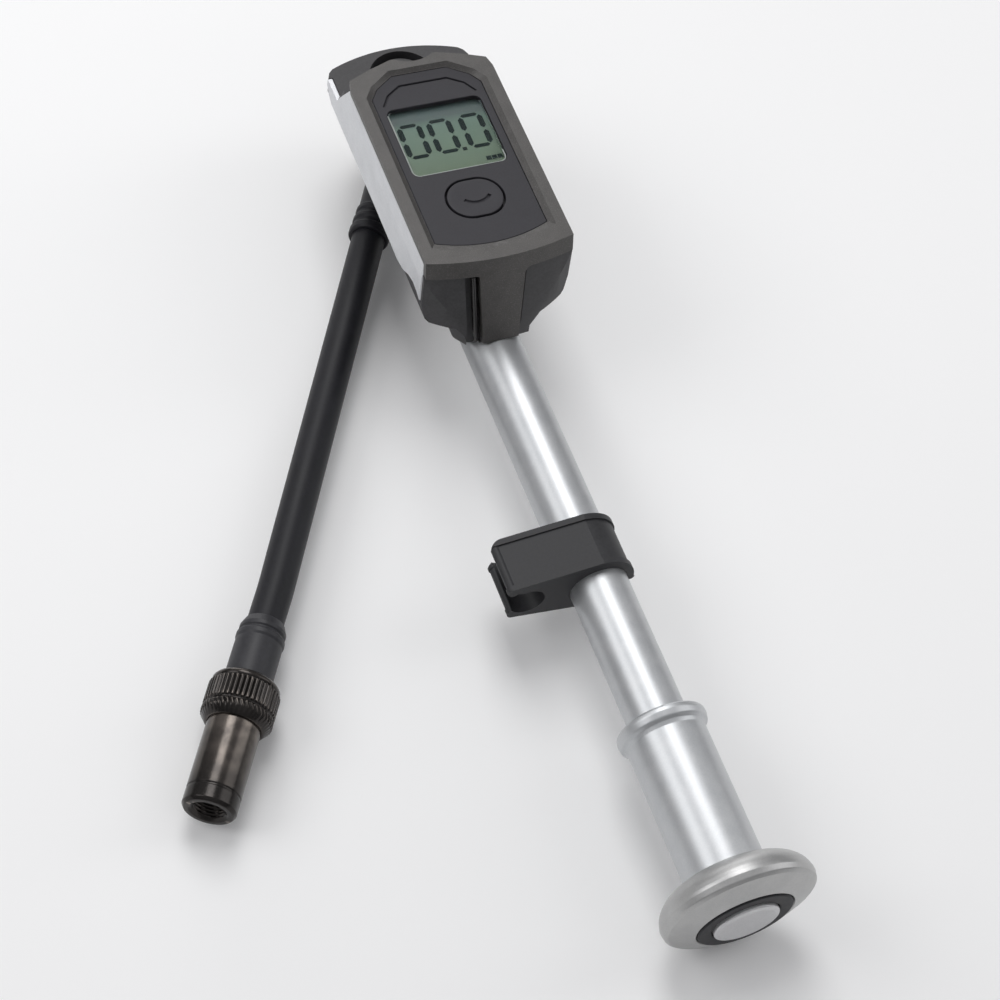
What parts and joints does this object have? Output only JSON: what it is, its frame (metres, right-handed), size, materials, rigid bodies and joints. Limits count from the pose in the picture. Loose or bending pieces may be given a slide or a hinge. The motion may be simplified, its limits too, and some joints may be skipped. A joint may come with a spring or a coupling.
{
  "type": "shock suspension pump",
  "caption": "Hand pump for suspension air springs: slim barrel with a sliding palm-disc handle, digital pressure gauge head, swivelling hose with threaded valve chuck, and a hose clip.",
  "frame": {"origin": "on the resting surface, under the axis of the hose swivel", "axes": "+Z the way the gauge faces, +Y along the barrel away from the handle, +X towards the gauge's right side"},
  "size_m": [0.1274, 0.2488, 0.05],
  "materials": {
    "trim_silver": "satin",
    "bezel_grey": "satin, fine metallic grain",
    "shell_black": "matt, fine texture",
    "panel_charcoal": "soft touch",
    "lcd_glass": "clear",
    "lcd_cell": "green-grey display",
    "board_green": "circuit board",
    "steel": "bright",
    "spring_brass": "plated contact",
    "switch_black": "matt",
    "alloy_silver": "satin anodised",
    "alloy_head": "machined",
    "rubber_black": "matt",
    "gland_black": "acetal",
    "plug_grey": "satin",
    "black_nickel": "black nickel plated brass",
    "stem_brass": "bare",
    "clip_grey": "matt"
  },
  "bodies": {
    "pump_body": {"rear_shell": "shell_black", "end_rib": "gland_black", "bezel": "bezel_grey", "left_trim": "trim_silver", "right_trim": "trim_silver", "face_panel": "panel_charcoal", "lcd_window": "lcd_glass", "lcd_panel": "lcd_cell", "circuit_board": "board_green", "battery": "steel", "battery_clip": "spring_brass", "button_switch": "switch_black", "pressure_sensor": "steel", "case_screws": "steel", "pump_head": "alloy_head", "check_ball": "steel", "check_spring": "steel", "barrel_o_ring": "rubber_black", "barrel_tube": "alloy_silver", "barrel_gland": "gland_black", "rod_seal": "rubber_black", "swivel_bolt": "black_nickel", "bleed_spring": "steel"},
    "handle": {"handle_sleeve": "alloy_silver", "handle_cap": "alloy_silver", "handle_ring": "rubber_black", "handle_plug": "plug_grey", "rod_screw": "steel", "piston_rod": "steel", "piston": "gland_black", "piston_o_ring": "rubber_black"},
    "hose_arm": {"swivel_ring": "black_nickel", "swivel_o_rings": "rubber_black", "hose_boot": "rubber_black", "hose": "rubber_black", "hose_ferrule": "black_nickel", "chuck_stem": "stem_brass"},
    "collar": {"knurled_collar": "black_nickel"},
    "chuck": {"chuck_barrel": "black_nickel", "chuck_seal": "rubber_black"},
    "valve_pin": {"chuck_pin": "stem_brass"},
    "clip": {"hose_clip": "clip_grey"},
    "power_key": {"power_button": "panel_charcoal"},
    "bleed_key": {"bleed_button": "panel_charcoal"}
  },
  "joints": [
    {"name": "handle_stroke", "type": "slide", "parent": "pump_body", "child": "handle", "axis": [0, -1, 0], "range_m": [0, 0.14]},
    {"name": "hose_swivel", "type": "hinge", "parent": "pump_body", "child": "hose_arm", "pos_m": [0, 0, 0.0085], "axis": [0, 0, -1], "range_deg": [-15, 180]},
    {"name": "collar_turn", "type": "hinge", "parent": "hose_arm", "child": "collar", "pos_m": [-0.0765, -0.132, 0.0085], "axis": [-0.5225, -0.8526, 0], "range_deg": [0, 270]},
    {"name": "chuck_spin", "type": "hinge", "parent": "hose_arm", "child": "chuck", "pos_m": [-0.0765, -0.132, 0.0085], "axis": [-0.5225, -0.8526, 0], "continuous": true},
    {"name": "pin_push", "type": "slide", "parent": "hose_arm", "child": "valve_pin", "axis": [-0.5225, -0.8526, 0], "range_m": [0, 0.0016]},
    {"name": "clip_turn", "type": "hinge", "parent": "pump_body", "child": "clip", "pos_m": [0, -0.142, 0.0184], "axis": [0, 1, 0], "range_deg": [-35, 35]},
    {"name": "power_press", "type": "slide", "parent": "pump_body", "child": "power_key", "axis": [0, 0, -1], "range_m": [0, 0.0005], "stiffness_N_per_m": 2000},
    {"name": "bleed_press", "type": "slide", "parent": "pump_body", "child": "bleed_key", "axis": [0, 0, -1], "range_m": [0, 0.0012], "stiffness_N_per_m": 1500, "deforming": ["bleed_spring"]}
  ],
  "couplings": [
    {"joint": "pin_push", "follows": "collar_turn", "m_per_rad": 0.000318}
  ]
}
